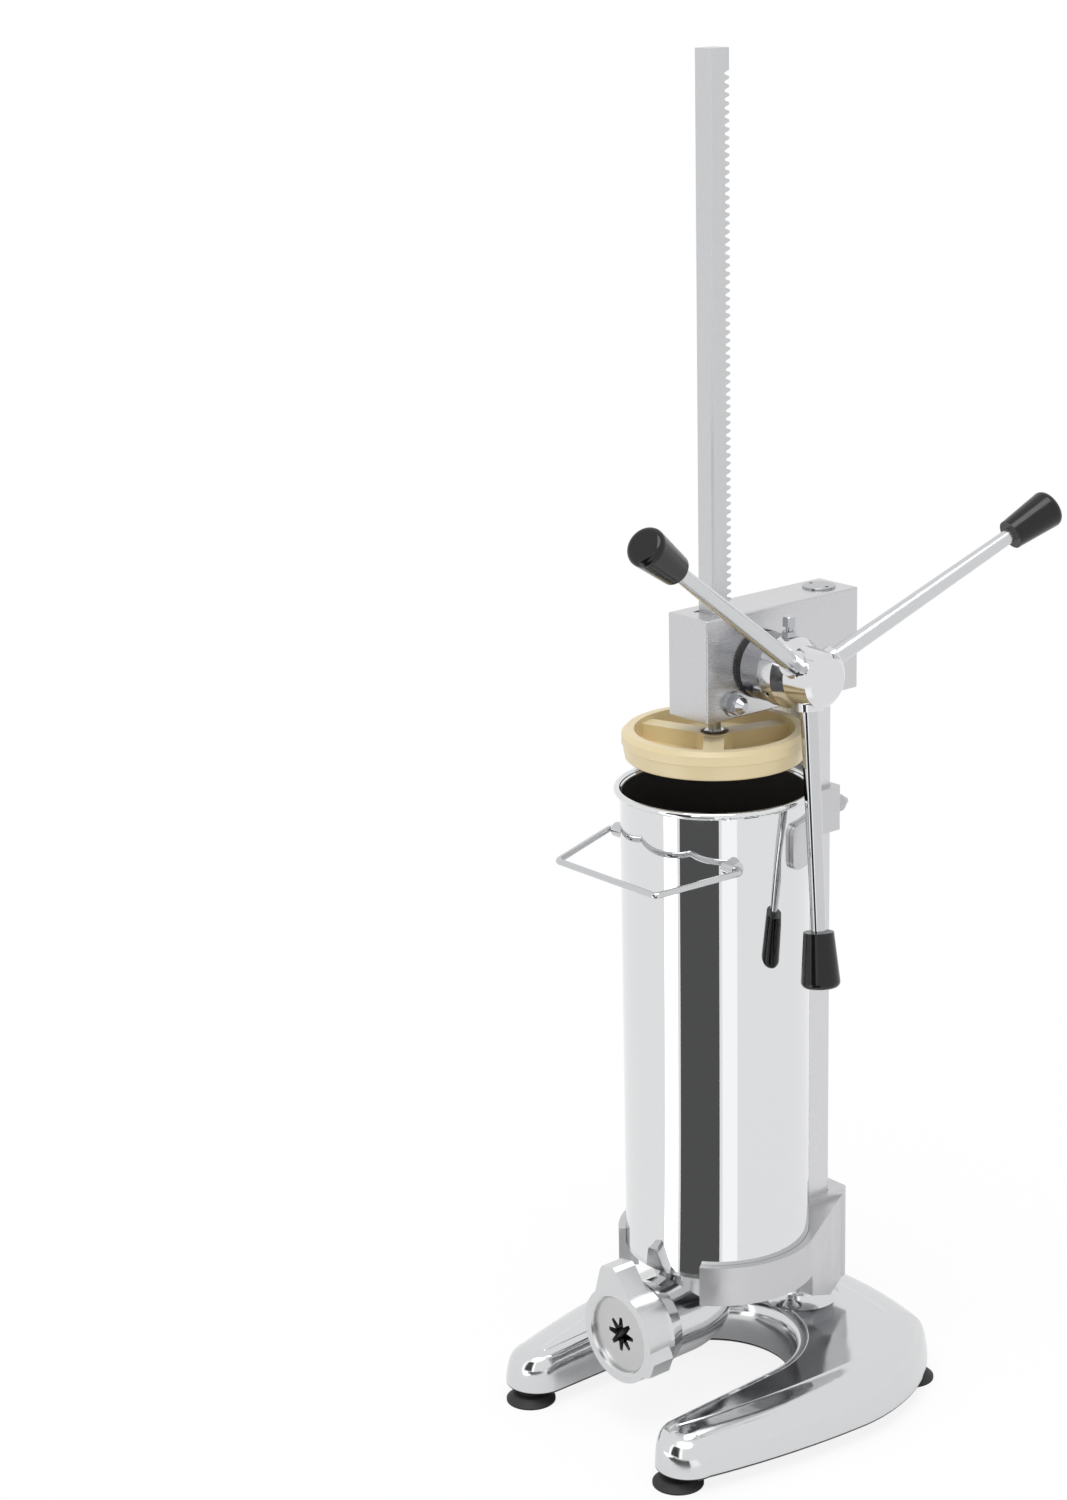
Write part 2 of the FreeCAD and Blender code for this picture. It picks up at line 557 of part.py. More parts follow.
def head_block():
    block = box(-BLOCK_HALF_W, BLOCK_HALF_W, BLOCK_FRONT, BLOCK_REAR, BLOCK_BOTTOM, BLOCK_TOP)
    block = block.makeFillet(1.2, block.Edges)
    cove_y = COLUMN_REAR + BLOCK_COVE_R
    cove_z = BLOCK_BOTTOM - BLOCK_COVE_R
    cove = box(-COLUMN_HALF_W, COLUMN_HALF_W, COLUMN_REAR, cove_y, cove_z, BLOCK_BOTTOM + 1.5)
    cove = cove.cut(rod(BLOCK_COVE_R - 0.5, V(-BLOCK_HALF_W - 1, cove_y, cove_z),
                        V(BLOCK_HALF_W + 1, cove_y, cove_z)))
    shape = block.fuse(cove)
    shape = shape.cut(box(-SLOT_HALF_W, SLOT_HALF_W, RACK_FRONT - SLIDE_GAP - SHOE_THICK,
                          RACK_TIPS + SLIDE_GAP, BLOCK_BOTTOM - 1, BLOCK_TOP + 1))
    shape = shape.cut(rod(CHAMBER_R, PINION_C - X_AXIS * SLOT_HALF_W, PINION_C + X_AXIS * SPIGOT_START))
    shape = shape.cut(rod(SPIGOT_R + FIT, PINION_C + X_AXIS * SLOT_HALF_W,
                          PINION_C + X_AXIS * (BLOCK_HALF_W + 1)))
    shape = shape.cut(rod(BUSH_R + FIT, PINION_C - X_AXIS * (BLOCK_HALF_W + 1), PINION_C))
    shape = shape.cut(rod(GUIDE_R + FIT, V(SLOT_HALF_W - 1, GUIDE_Y, GUIDE_Z),
                          V(BLOCK_HALF_W + 1, GUIDE_Y, GUIDE_Z)))
    middle = (COLUMN_FRONT + COLUMN_REAR) / 2
    shape = shape.cut(box(-TENON_HALF_W - FIT, TENON_HALF_W + FIT, middle - TENON_HALF_D - FIT,
                          middle + TENON_HALF_D + FIT, BLOCK_BOTTOM - 1, BLOCK_BOTTOM + TENON_HEIGHT + 0.5))
    for bolt_z in TIE_BOLT_Z:
        shape = shape.cut(rod(TIE_BOLT_R + FIT, V(-BLOCK_HALF_W - 1, middle, bolt_z), V(0, middle, bolt_z)))
    shape = shape.cut(rod(PLUG_R - 3 + FIT, V(0, PLUG_Y, BLOCK_TOP - 10.5), V(0, PLUG_Y, BLOCK_TOP + 1)))
    return shape.removeSplitter()


def head_plug():
    head = rod(PLUG_R, V(0, PLUG_Y, BLOCK_TOP), V(0, PLUG_Y, BLOCK_TOP + PLUG_PROUD))
    head = head.makeFillet(PLUG_PROUD / 2, [e for e in head.Edges if e.BoundBox.ZMin > BLOCK_TOP + 1])
    slots = [rod(1.6, V(x, PLUG_Y, BLOCK_TOP - 1), V(x, PLUG_Y, BLOCK_TOP + 5)) for x in (-9, 9)]
    return head.fuse(rod(PLUG_R - 3, V(0, PLUG_Y, BLOCK_TOP - 10), V(0, PLUG_Y, BLOCK_TOP))).cut(group(slots))


def column_tie_bolts():
    middle = (COLUMN_FRONT + COLUMN_REAR) / 2
    return group([hex_screw(13, 6, TIE_BOLT_R, V(-BLOCK_HALF_W, middle, z), X_AXIS, BLOCK_HALF_W)
                  for z in TIE_BOLT_Z])


def rack_shoe():
    y0 = RACK_FRONT - SLIDE_GAP - SHOE_THICK
    return box(-SLOT_HALF_W + FIT, SLOT_HALF_W - FIT, y0 + FIT, y0 + SHOE_THICK, BLOCK_BOTTOM,
               BLOCK_TOP - SHOE_DROP)


def guide_pad():
    return rod(GUIDE_R - 1, V(SLOT_HALF_W, GUIDE_Y, GUIDE_Z),
               V(SLOT_HALF_W + GUIDE_PAD_LENGTH, GUIDE_Y, GUIDE_Z))


def guide_bolt_washer():
    return tube(GUIDE_WASHER_R, GUIDE_R + FIT, V(BLOCK_HALF_W, GUIDE_Y, GUIDE_Z),
                V(BLOCK_HALF_W + WASHER_THICK, GUIDE_Y, GUIDE_Z))


def guide_bolt():
    seat = BLOCK_HALF_W + WASHER_THICK
    return hex_screw(15, 6, GUIDE_R, V(seat, GUIDE_Y, GUIDE_Z), -X_AXIS,
                     seat - SLOT_HALF_W - GUIDE_PAD_LENGTH, dome=5)


# ---- pinion, shaft and bearing ----------------------------------------------------------
def on_axis(x):
    return V(x, PINION_Y, PINION_Z)


def bearing_sleeve():
    body = rod(SLEEVE_R, on_axis(BLOCK_HALF_W + SEAL_WIDTH), on_axis(SLEEVE_END))
    body = body.makeChamfer(1.2, [e for e in body.Edges if e.BoundBox.XMin > SLEEVE_END - 1 and e.Length > 9])
    body = body.fuse(rod(SPIGOT_R, on_axis(SPIGOT_START), on_axis(BLOCK_HALF_W + SEAL_WIDTH)))
    return body.cut(rod(BUSH_R + FIT, on_axis(0), on_axis(SLEEVE_END + 1))).removeSplitter()


def bearing_seal():
    return tube(SLEEVE_R + SEAL_PROUD, SPIGOT_R + FIT, on_axis(BLOCK_HALF_W),
                on_axis(BLOCK_HALF_W + SEAL_WIDTH))


def pinion_bush_right():
    return tube(BUSH_R, SHAFT_R + FIT, on_axis(SPIGOT_START + 0.2), on_axis(SLEEVE_END))


def pinion_bush_left():
    return tube(BUSH_R, SHAFT_R + FIT, on_axis(-BLOCK_HALF_W), on_axis(-SLOT_HALF_W))


def involute(base_r, radius):
    """Polar angle swept by an involute from its base circle out to a radius."""
    roll = math.sqrt(max(radius * radius / (base_r * base_r) - 1, 0.0))
    return roll - math.atan(roll)


def tooth_flank():
    """Radius and half-angle of the pinion's tooth from root to tip."""
    base_r = PITCH_R * math.cos(math.radians(PRESSURE_ANGLE))
    half_at_pitch = (PITCH / 4 - BACKLASH) / PITCH_R
    at_base = half_at_pitch + involute(base_r, PITCH_R)
    radii = [base_r + (TIP_R - base_r) * i / 5 for i in range(6)]
    return [(ROOT_R, at_base)] + [(r, at_base - involute(base_r, r)) for r in radii]


KEY_SIZE = 5.0
KEY_BOTTOM = SHAFT_R - KEY_SIZE / 2
KEY_HALF_LENGTH = PINION_WIDTH / 2 - 1


def key_box(play):
    bottom = PINION_Z + KEY_BOTTOM
    return box(-KEY_HALF_LENGTH - play, KEY_HALF_LENGTH + play, PINION_Y - KEY_SIZE / 2 - play,
               PINION_Y + KEY_SIZE / 2 + play, bottom - play, bottom + KEY_SIZE + play)


def pinion():
    """Spur gear with a tooth centred on the rack's gap at the height of its axis."""
    flank = tooth_flank()
    points = []
    for tooth in range(PINION_TEETH):
        middle = math.pi + 2 * math.pi * tooth / PINION_TEETH
        rising = [(r, middle - half) for r, half in flank]
        falling = [(r, middle + half) for r, half in reversed(flank)]
        points += [V(-PINION_WIDTH / 2, PINION_Y + r * math.cos(a), PINION_Z + r * math.sin(a))
                   for r, a in rising + falling]
    gear = Part.Face(Part.makePolygon(points + [points[0]])).extrude(X_AXIS * PINION_WIDTH)
    return gear.cut(rod(SHAFT_R + FIT, on_axis(-PINION_WIDTH), on_axis(PINION_WIDTH))).cut(key_box(FIT))


SHAFT_LEFT = -(BLOCK_HALF_W + SLIDE_GAP)
SHAFT_RIGHT = 80.0
HUB_START = SLEEVE_END + 0.5
HUB_SCREW_X = HUB_START + HUB_COLLAR / 2
HUB_SCREW_R = 3.0
HUB_SCREW_ANGLES = {"lock": 90.0, "set": (210.0, 330.0)}
LOCK_NUT_FLATS = 11.0
LOCK_NUT_HEIGHT = 5.0
LOCK_HEAD_GAP = 3.0
END_SCREW_R = 4.0
END_SCREW_LENGTH = 20.0
END_WASHER_THICK = 2.5


def pinion_shaft():
    shape = rod(SHAFT_R, on_axis(SHAFT_LEFT), on_axis(SHAFT_RIGHT)).cut(key_box(FIT))
    return shape.cut(rod(END_SCREW_R + FIT, on_axis(SHAFT_LEFT - 1), on_axis(SHAFT_LEFT + END_SCREW_LENGTH)))


def pinion_key():
    return key_box(0.0)


def shaft_end_washer():
    return tube(14, END_SCREW_R + FIT, on_axis(SHAFT_LEFT - END_WASHER_THICK), on_axis(SHAFT_LEFT))


def shaft_end_screw():
    return hex_screw(13, 6, END_SCREW_R, on_axis(SHAFT_LEFT - END_WASHER_THICK), X_AXIS, END_SCREW_LENGTH)


# ---- lever ------------------------------------------------------------------------------
def arm_direction(degrees):
    splay = math.radians(ARM_SPLAY)
    turn = math.radians(degrees)
    return V(math.sin(splay), math.cos(splay) * math.cos(turn), math.cos(splay) * math.sin(turn))


def along_arm(degrees, distance):
    return on_axis(ARM_ROOT_X) + arm_direction(degrees) * distance


def hub_radial(degrees, distance):
    """A point at a distance from the axis, in the plane of the hub's screws."""
    turn = math.radians(degrees)
    return V(HUB_SCREW_X, PINION_Y + distance * math.cos(turn), PINION_Z + distance * math.sin(turn))


def lever_hub():
    collar_end = HUB_START + HUB_COLLAR
    outline = [V(HUB_START, 0, 0), V(HUB_START, 0, HUB_R - 1.5), V(HUB_START + 1.5, 0, HUB_R),
               V(collar_end, 0, HUB_R), V(collar_end + 9, 0, HUB_NOSE_R + 1.5), V(HUB_END - 3, 0, HUB_NOSE_R),
               V(HUB_END, 0, HUB_NOSE_R - 3.5), V(HUB_END, 0, 0)]
    body = revolve([p + V(0, PINION_Y, PINION_Z) for p in outline], PINION_C, X_AXIS)
    sockets = [rod(SOCKET_R, along_arm(a, 0), along_arm(a, SOCKET_END)) for a in ARM_ANGLES.values()]
    body = body.multiFuse(sockets)
    body = body.cut(rod(SHAFT_R + FIT, on_axis(HUB_START - 1), on_axis(SHAFT_RIGHT + 0.5)))
    for degrees in ARM_ANGLES.values():
        body = body.cut(rod(ROD_ROOT_R + FIT, along_arm(degrees, ROD_START - 1),
                            along_arm(degrees, SOCKET_END + 5)))
    flat = hub_radial(HUB_SCREW_ANGLES["lock"], HUB_R - 0.8)
    outward = (flat - hub_radial(0, 0)).normalize()
    body = body.cut(rod(LOCK_NUT_FLATS * 0.62, flat, flat + outward * 3))
    for degrees in (HUB_SCREW_ANGLES["lock"],) + HUB_SCREW_ANGLES["set"]:
        body = body.cut(rod(HUB_SCREW_R + FIT, hub_radial(degrees, SHAFT_R - 1),
                            hub_radial(degrees, HUB_R + 1)))
    return body.removeSplitter()


def hub_lock_nut():
    seat = hub_radial(HUB_SCREW_ANGLES["lock"], HUB_R - 0.8)
    outward = (seat - hub_radial(0, 0)).normalize()
    nut = hexagon(LOCK_NUT_FLATS, seat, seat + outward * LOCK_NUT_HEIGHT)
    return nut.cut(rod(HUB_SCREW_R + FIT, seat - outward, seat + outward * (LOCK_NUT_HEIGHT + 1)))


def hub_lock_screw():
    head = hub_radial(HUB_SCREW_ANGLES["lock"], HUB_R + LOCK_NUT_HEIGHT + LOCK_HEAD_GAP)
    inward = (hub_radial(0, 0) - head).normalize()
    return hex_screw(10, 8, HUB_SCREW_R, head, inward,
                     HUB_R + LOCK_NUT_HEIGHT + LOCK_HEAD_GAP - SHAFT_R - FIT)


def hub_set_screws():
    screws = []
    for degrees in HUB_SCREW_ANGLES["set"]:
        screw = rod(HUB_SCREW_R, hub_radial(degrees, SHAFT_R + FIT), hub_radial(degrees, HUB_R - 0.5))
        screws.append(screw.cut(hexagon(3, hub_radial(degrees, HUB_R - 4), hub_radial(degrees, HUB_R))))
    return group(screws)


def lever_rod(degrees, reach):
    """A rod that is straight in its socket and tapers from there to its grip."""
    taper_start = along_arm(degrees, SOCKET_END)
    taper = cone(ROD_ROOT_R, ROD_TIP_R, taper_start, along_arm(degrees, reach - GRIP_LENGTH))
    end = rod(ROD_TIP_R, along_arm(degrees, reach - GRIP_LENGTH), along_arm(degrees, reach - GRIP_CAP))
    return rod(ROD_ROOT_R, along_arm(degrees, ROD_START), taper_start).multiFuse([taper, end]).removeSplitter()


def lever_grip(degrees, reach):
    start = reach - GRIP_LENGTH
    body = cone(GRIP_ROOT_R, GRIP_END_R, along_arm(degrees, start), along_arm(degrees, reach))
    body = body.makeFillet(GRIP_ROUND, [e for e in body.Edges if e.Length > 2 * math.pi * GRIP_END_R - 1])
    return body.cut(rod(ROD_TIP_R + FIT, along_arm(degrees, start - 1),
                        along_arm(degrees, reach - GRIP_CAP + 0.5)))


# ---- ram --------------------------------------------------------------------------------
def rack():
    half = RACK_WIDTH / 2
    bar = box(-half, half, RACK_FRONT, RACK_TIPS, RACK_BOTTOM, RACK_TOP)
    front = [e for e in bar.Edges if e.BoundBox.ZLength > 10 and e.BoundBox.YMax < RACK_FRONT + 1]
    bar = bar.makeChamfer(RACK_CHAMFER, front)
    slope = math.tan(math.radians(PRESSURE_ANGLE))
    pitch_y = RACK_TIPS - MODULE
    root_y = pitch_y - 1.25 * MODULE
    half_gap = PITCH / 4
    mouth = half_gap + (MODULE + 1) * slope
    bottom = half_gap - 1.25 * MODULE * slope
    first = math.ceil((RACK_BOTTOM + half_gap - PINION_Z) / PITCH)
    last = math.floor((RACK_TOP - RACK_PLAIN_TOP - PINION_Z) / PITCH)
    gaps = []
    for number in range(first, last + 1):
        z = PINION_Z + number * PITCH
        points = [V(-half - 1, RACK_TIPS + 1, z - mouth), V(-half - 1, root_y, z - bottom),
                  V(-half - 1, root_y, z + bottom), V(-half - 1, RACK_TIPS + 1, z + mouth)]
        gaps.append(Part.Face(Part.makePolygon(points + [points[0]])).extrude(X_AXIS * (RACK_WIDTH + 2)))
    bar = bar.cut(gaps)
    return bar.cut(rod(STUD_R + FIT, V(0, 0, RACK_BOTTOM - 1), V(0, 0, RACK_BOTTOM + STUD_IN_RACK)))


TOP_WASHER_THICK = 2.0
TOP_WASHER_R = 11.0
TOP_NUT_FLATS = 15.0
TOP_NUT_HEIGHT = 7.0
LOW_WASHER_R = 22.0
LOW_NUT_FLATS = 17.0
LOW_NUT_HEIGHT = 8.0
LOW_SEAT = PISTON_BOTTOM - TOP_WASHER_THICK


def piston_stud():
    return rod(STUD_R, V(0, 0, LOW_SEAT - LOW_NUT_HEIGHT + 1), V(0, 0, RACK_BOTTOM + STUD_IN_RACK - 1))


def piston():
    inner = PISTON_R - PISTON_RIM
    floor = PISTON_BOTTOM + PISTON_FLOOR
    band_top = PISTON_TOP - PISTON_CHAMFER
    outline = [V(0, 0, PISTON_BOTTOM), V(PISTON_R - PISTON_TAPER - 1, 0, PISTON_BOTTOM),
               V(PISTON_R - PISTON_TAPER, 0, PISTON_BOTTOM + 1), V(PISTON_R - 0.8, 0, band_top - PISTON_BAND),
               V(PISTON_R, 0, band_top - PISTON_BAND + 0.8), V(PISTON_R, 0, band_top),
               V(PISTON_R - PISTON_CHAMFER, 0, PISTON_TOP), V(inner, 0, PISTON_TOP),
               V(inner - 1, 0, floor + 3), V(inner - 4, 0, floor), V(0, 0, floor)]
    shape = revolve(outline)
    boss = cone(PISTON_BOSS_R + 1, PISTON_BOSS_R, V(0, 0, PISTON_BOTTOM + 1), V(0, 0, BOSS_TOP))
    ribs = []
    for degrees in PISTON_RIB_ANGLES:
        rib = box(0, inner + 2, -PISTON_RIB / 2, PISTON_RIB / 2, PISTON_BOTTOM + 1, BOSS_TOP - 1)
        rib.rotate(V(0, 0, 0), Z_AXIS, degrees)
        ribs.append(rib)
    shape = shape.multiFuse([boss] + ribs)
    shape = shape.cut(rod(TOP_WASHER_R + SLIDE_GAP, V(0, 0, NUT_SEAT), V(0, 0, PISTON_TOP + 1)))
    return shape.cut(rod(STUD_R + FIT, V(0, 0, PISTON_BOTTOM - 1), V(0, 0, PISTON_TOP + 1))).removeSplitter()


def piston_washer():
    return tube(TOP_WASHER_R, STUD_R + FIT, V(0, 0, NUT_SEAT), V(0, 0, NUT_SEAT + TOP_WASHER_THICK))


def piston_nut():
    seat = NUT_SEAT + TOP_WASHER_THICK
    nut = hexagon(TOP_NUT_FLATS, V(0, 0, seat), V(0, 0, seat + TOP_NUT_HEIGHT))
    nut = nut.common(cone(TOP_NUT_FLATS / 2 + TOP_NUT_HEIGHT, TOP_NUT_FLATS / 2, V(0, 0, seat),
                          V(0, 0, seat + TOP_NUT_HEIGHT)))
    return nut.cut(rod(STUD_R + FIT, V(0, 0, seat - 1), V(0, 0, seat + TOP_NUT_HEIGHT + 1)))


def piston_lower_washer():
    return tube(LOW_WASHER_R, STUD_R + FIT, V(0, 0, LOW_SEAT), V(0, 0, PISTON_BOTTOM))


def piston_cap_nut():
    bottom = LOW_SEAT - LOW_NUT_HEIGHT
    nut = hexagon(LOW_NUT_FLATS, V(0, 0, bottom), V(0, 0, LOW_SEAT))
    dome = Part.makeSphere(LOW_NUT_FLATS / 2 - 0.6, V(0, 0, bottom + 2))
    nut = nut.fuse(dome.common(box(-20, 20, -20, 20, bottom - 10, LOW_SEAT - 1)))
    return nut.cut(rod(STUD_R + FIT, V(0, 0, bottom + 0.5), V(0, 0, LOW_SEAT + 1))).removeSplitter()


# ---- cylinder and outlet ----------------------------------------------------------------
def cylinder():
    bead_r = CYL_OUTER_R + RIM_BEAD_OFFSET
    bead_z = CYL_TOP
    outline = [V(CYL_INNER_R, 0, CYL_BOTTOM), V(CYL_OUTER_R, 0, CYL_BOTTOM), V(CYL_OUTER_R, 0, bead_z - 4),
               V(bead_r, 0, bead_z), V(bead_r - 1, 0, bead_z + RIM_BEAD_R - 0.4),
               V(CYL_INNER_R, 0, bead_z - 2)]
    wall = revolve(outline)
    bead = Part.makeTorus(bead_r, RIM_BEAD_R, V(0, 0, bead_z), Z_AXIS)
    return wall.fuse(bead).removeSplitter()


BOWL_TOP_R = SADDLE_R - CRADLE_LEDGE - 1.2
# radius as a share of the bowl's top, height as a share of its depth, and how far it leans forward
BOWL_RINGS = ((0.42, 0.0, 26.0), (0.52, 0.34, 20.0), (0.76, 0.7, 9.0), (1.0, 1.0, 0.0))
COLLAR_REAR = COLLAR_FRONT + COLLAR_WIDTH
COLLAR_R = NUT_REAR_R - 0.5


def elbow_body(inset, front):
    """A bowl that leans forward on a pipe with a rounded end, as one solid drawn in by inset."""
    rings = [Part.Wire([Part.makeCircle(BOWL_TOP_R * share - inset,
                                        V(0, -lean, PIPE_Z + rise * (FLANGE_BOTTOM - PIPE_Z)), Z_AXIS)])
             for share, rise, lean in BOWL_RINGS]
    bowl = Part.makeLoft(rings, True, False)
    radius = PIPE_R - inset
    length = BEND_LENGTH - inset
    side = [V(radius * math.cos(math.radians(a)), BEND_Y + length * math.sin(math.radians(a)), 0)
            for a in range(0, 91, 15)]
    curve = Part.BSplineCurve()
    curve.interpolate(side)
    edges = [line(V(0, front, 0), V(radius, front, 0)), line(V(radius, front, 0), side[0]), curve.toShape(),
             line(side[-1], V(0, front, 0))]
    pipe = Part.Face(Part.Wire(edges)).revolve(V(0, 0, 0), Y_AXIS, 360)
    pipe.translate(V(0, 0, PIPE_Z))
    return bowl.fuse(pipe)


def outlet_elbow():
    body = elbow_body(0, COLLAR_REAR)
    flange = rod(CYL_OUTER_R - 0.2, V(0, 0, FLANGE_BOTTOM), V(0, 0, CYL_BOTTOM))
    collar = rod(COLLAR_R, V(0, COLLAR_REAR, PIPE_Z), V(0, COLLAR_FRONT, PIPE_Z))
    swell = cone(PIPE_R - 0.1, COLLAR_R, V(0, COLLAR_REAR + SWELL_LENGTH, PIPE_Z), V(0, COLLAR_REAR, PIPE_Z))
    thread = rod(THREAD_R, V(0, COLLAR_FRONT, PIPE_Z), V(0, SPOUT_END, PIPE_Z))
    body = body.multiFuse([flange, collar, swell, thread])
    hollow = elbow_body(PIPE_WALL, SPOUT_END - 1)
    mouth = rod(BOWL_TOP_R - PIPE_WALL, V(0, 0, FLANGE_BOTTOM), V(0, 0, CYL_BOTTOM + 1))
    return body.cut(hollow).cut(mouth).removeSplitter()


def nut_lug(tip_r, degrees):
    """A lug that runs the nut's whole depth, wide at the ring and narrow at its tip."""
    half = LUG_WIDTH / 2
    outline = [V(-NUT_R + 6, 0, 8), V(-half, 0, tip_r - 3), V(-half + 3, 0, tip_r), V(half - 3, 0, tip_r),
               V(half, 0, tip_r - 3), V(NUT_R - 6, 0, 8)]
    lug = Part.Face(Part.makePolygon(outline + [outline[0]])).extrude(V(0, NUT_DEPTH - 3, 0))
    lug.rotate(V(0, 0, 0), Y_AXIS, 90 - degrees)
    lug.translate(V(0, NUT_FRONT, PIPE_Z))
    return lug


def ring_nut():
    front = V(0, NUT_FRONT, PIPE_Z)
    rear = V(0, COLLAR_FRONT - FACE_GAP, PIPE_Z)
    body = cone(NUT_R, NUT_REAR_R, front, rear)
    body = body.multiFuse([nut_lug(LUG_TIP_R, LUG_ANGLE), nut_lug(LUG_MINOR_TIP_R, LUG_MINOR_ANGLE)])
    body = body.cut(rod(THREAD_R + FIT, front + Y_AXIS * NUT_LIP, rear + Y_AXIS))
    body = body.cut(rod(NUT_LIP_HOLE_R, front, front + Y_AXIS * (NUT_LIP + 1)))
    return body.cut(cone(NUT_LIP_HOLE_R + 1.5, NUT_LIP_HOLE_R, front, front + Y_AXIS * 1.5))


def star_die():
    disc = rod(THREAD_R - SLIDE_GAP, V(0, DIE_FRONT, PIPE_Z), V(0, SPOUT_END - FACE_GAP, PIPE_Z))
    step = 2 * math.pi / STAR_POINTS
    half_tip = STAR_TIP_WIDTH / 2 / STAR_OUTER_R
    points = []
    for number in range(STAR_POINTS):
        middle = step * number
        for radius, angle in ((STAR_OUTER_R, middle - half_tip), (STAR_OUTER_R, middle + half_tip),
                              (STAR_INNER_R, middle + step / 2)):
            points.append(V(radius * math.cos(angle), DIE_FRONT - 1, PIPE_Z + radius * math.sin(angle)))
    star = Part.Face(Part.makePolygon(points + [points[0]])).extrude(V(0, DIE_THICK + 2, 0))
    return disc.cut(star)


# ---- wire handle ------------------------------------------------------------------------
PIN_TIP_X = LUG_SKIN_X + PIN_GAP
LUG_BOSS_END = LUG_SKIN_X + LUG_BOSS_PROUD
HANDLE_PIVOT_X = LUG_SKIN_X + HANDLE_SIDE
HANDLE_CORNER_X = HANDLE_PIVOT_X - HANDLE_TAPER


def handle_lugs():
    lugs = []
    for side in (-1, 1):
        boss = rod(LUG_BOSS_R, V(side * (LUG_SKIN_X - 2 * LUG_BOSS_R), HANDLE_Y, HANDLE_Z),
                   V(side * LUG_BOSS_END, HANDLE_Y, HANDLE_Z))
        boss = boss.cut(rod(CYL_OUTER_R, V(0, 0, HANDLE_Z - 2 * LUG_BOSS_R),
                            V(0, 0, HANDLE_Z + 2 * LUG_BOSS_R)))
        lugs.append(boss.cut(rod(WIRE_R + FIT, V(side * (LUG_SKIN_X - 2 * LUG_BOSS_R), HANDLE_Y, HANDLE_Z),
                                 V(side * (LUG_BOSS_END + 1), HANDLE_Y, HANDLE_Z))))
    return group(lugs)


def wire_handle():
    corner_y = HANDLE_Y - HANDLE_REACH
    corner_z = HANDLE_Z - HANDLE_DROP
    path = [V(PIN_TIP_X, HANDLE_Y, HANDLE_Z), V(HANDLE_PIVOT_X, HANDLE_Y, HANDLE_Z),
            V(HANDLE_CORNER_X, corner_y, corner_z), V(-HANDLE_CORNER_X, corner_y, corner_z),
            V(-HANDLE_PIVOT_X, HANDLE_Y, HANDLE_Z), V(-PIN_TIP_X, HANDLE_Y, HANDLE_Z)]
    return bent_wire(path, WIRE_R, WIRE_BEND_R)


# ---- all nodes --------------------------------------------------------------------------
def all_parts():
    parts = {
        "base_casting": base_casting(), "cup_screws": cup_screws(), "cradle": cradle(),
        "cradle_bolts": cradle_bolts(), "column": column(), "column_clamp_screws": column_clamp_screws(),
        "yoke": yoke(), "yoke_washers": yoke_washers(), "yoke_screws": yoke_screws(),
        "head_block": head_block(), "head_plug": head_plug(), "column_tie_bolts": column_tie_bolts(),
        "rack_shoe": rack_shoe(), "guide_pad": guide_pad(), "guide_bolt_washer": guide_bolt_washer(),
        "guide_bolt": guide_bolt(), "bearing_sleeve": bearing_sleeve(), "bearing_seal": bearing_seal(),
        "hub_lock_screw": hub_lock_screw(), "hub_lock_nut": hub_lock_nut(),
        "hub_set_screws": hub_set_screws(),
        "pinion_bush_right": pinion_bush_right(), "pinion_bush_left": pinion_bush_left(),
        "pinion": pinion(), "pinion_shaft": pinion_shaft(), "pinion_key": pinion_key(),
        "shaft_end_washer": shaft_end_washer(), "shaft_end_screw": shaft_end_screw(),
        "lever_hub": lever_hub(), "rack": rack(), "piston_stud": piston_stud(),
        "piston": piston(), "piston_washer": piston_washer(), "piston_nut": piston_nut(),
        "piston_lower_washer": piston_lower_washer(), "piston_cap_nut": piston_cap_nut(),
        "cylinder": cylinder(), "outlet_elbow": outlet_elbow(), "ring_nut": ring_nut(),
        "star_die": star_die(), "handle_lugs": handle_lugs(), "wire_handle": wire_handle(),
    }
    for place, (x, y) in FEET.items():
        parts["suction_cup_" + place] = suction_cup(x, y)
    for place, degrees in ARM_ANGLES.items():
        parts["lever_rod_" + place] = lever_rod(degrees, ARM_REACH[place])
        parts["lever_grip_" + place] = lever_grip(degrees, ARM_REACH[place])
    return parts


os.makedirs("parts", exist_ok=True)
for name, shape in sorted(all_parts().items()):
    shape.exportStep("parts/" + name + ".step")
    print(name, shape.isValid(), len(shape.Solids), round(shape.Volume / 1000, 2))
print("stroke", STROKE, "turn", round(math.degrees(STROKE / PITCH_R), 1))
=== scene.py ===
import math

import bpy
from mathutils import Matrix, Vector

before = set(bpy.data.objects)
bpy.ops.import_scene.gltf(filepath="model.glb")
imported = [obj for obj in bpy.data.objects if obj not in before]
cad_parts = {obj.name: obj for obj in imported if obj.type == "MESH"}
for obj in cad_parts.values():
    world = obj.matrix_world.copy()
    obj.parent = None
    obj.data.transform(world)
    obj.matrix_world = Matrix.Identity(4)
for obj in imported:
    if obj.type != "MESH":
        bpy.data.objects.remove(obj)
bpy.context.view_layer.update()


# ---- the horseshoe base ----------------------------------------------------------------
# One hollow casting in aluminium-silicon alloy, fettled, then polished on felt wheels until
# it mirrors. It stands on four suction cups, and the neck at its rear carries the cradle.
LIP_TOP = 0.0146          # just over the base's slanted lower edge
MIX_A, MIX_B, MIX_COLOUR = 6, 7, 2        # a Mix node's colours share their names with its other types


def linear(code):
    """An sRGB hex colour as the linear RGBA that a shader takes."""
    parts = [int(code[i:i + 2], 16) / 255 for i in (1, 3, 5)]
    return [p / 12.92 if p <= 0.04045 else ((p + 0.055) / 1.055) ** 2.4 for p in parts] + [1.0]


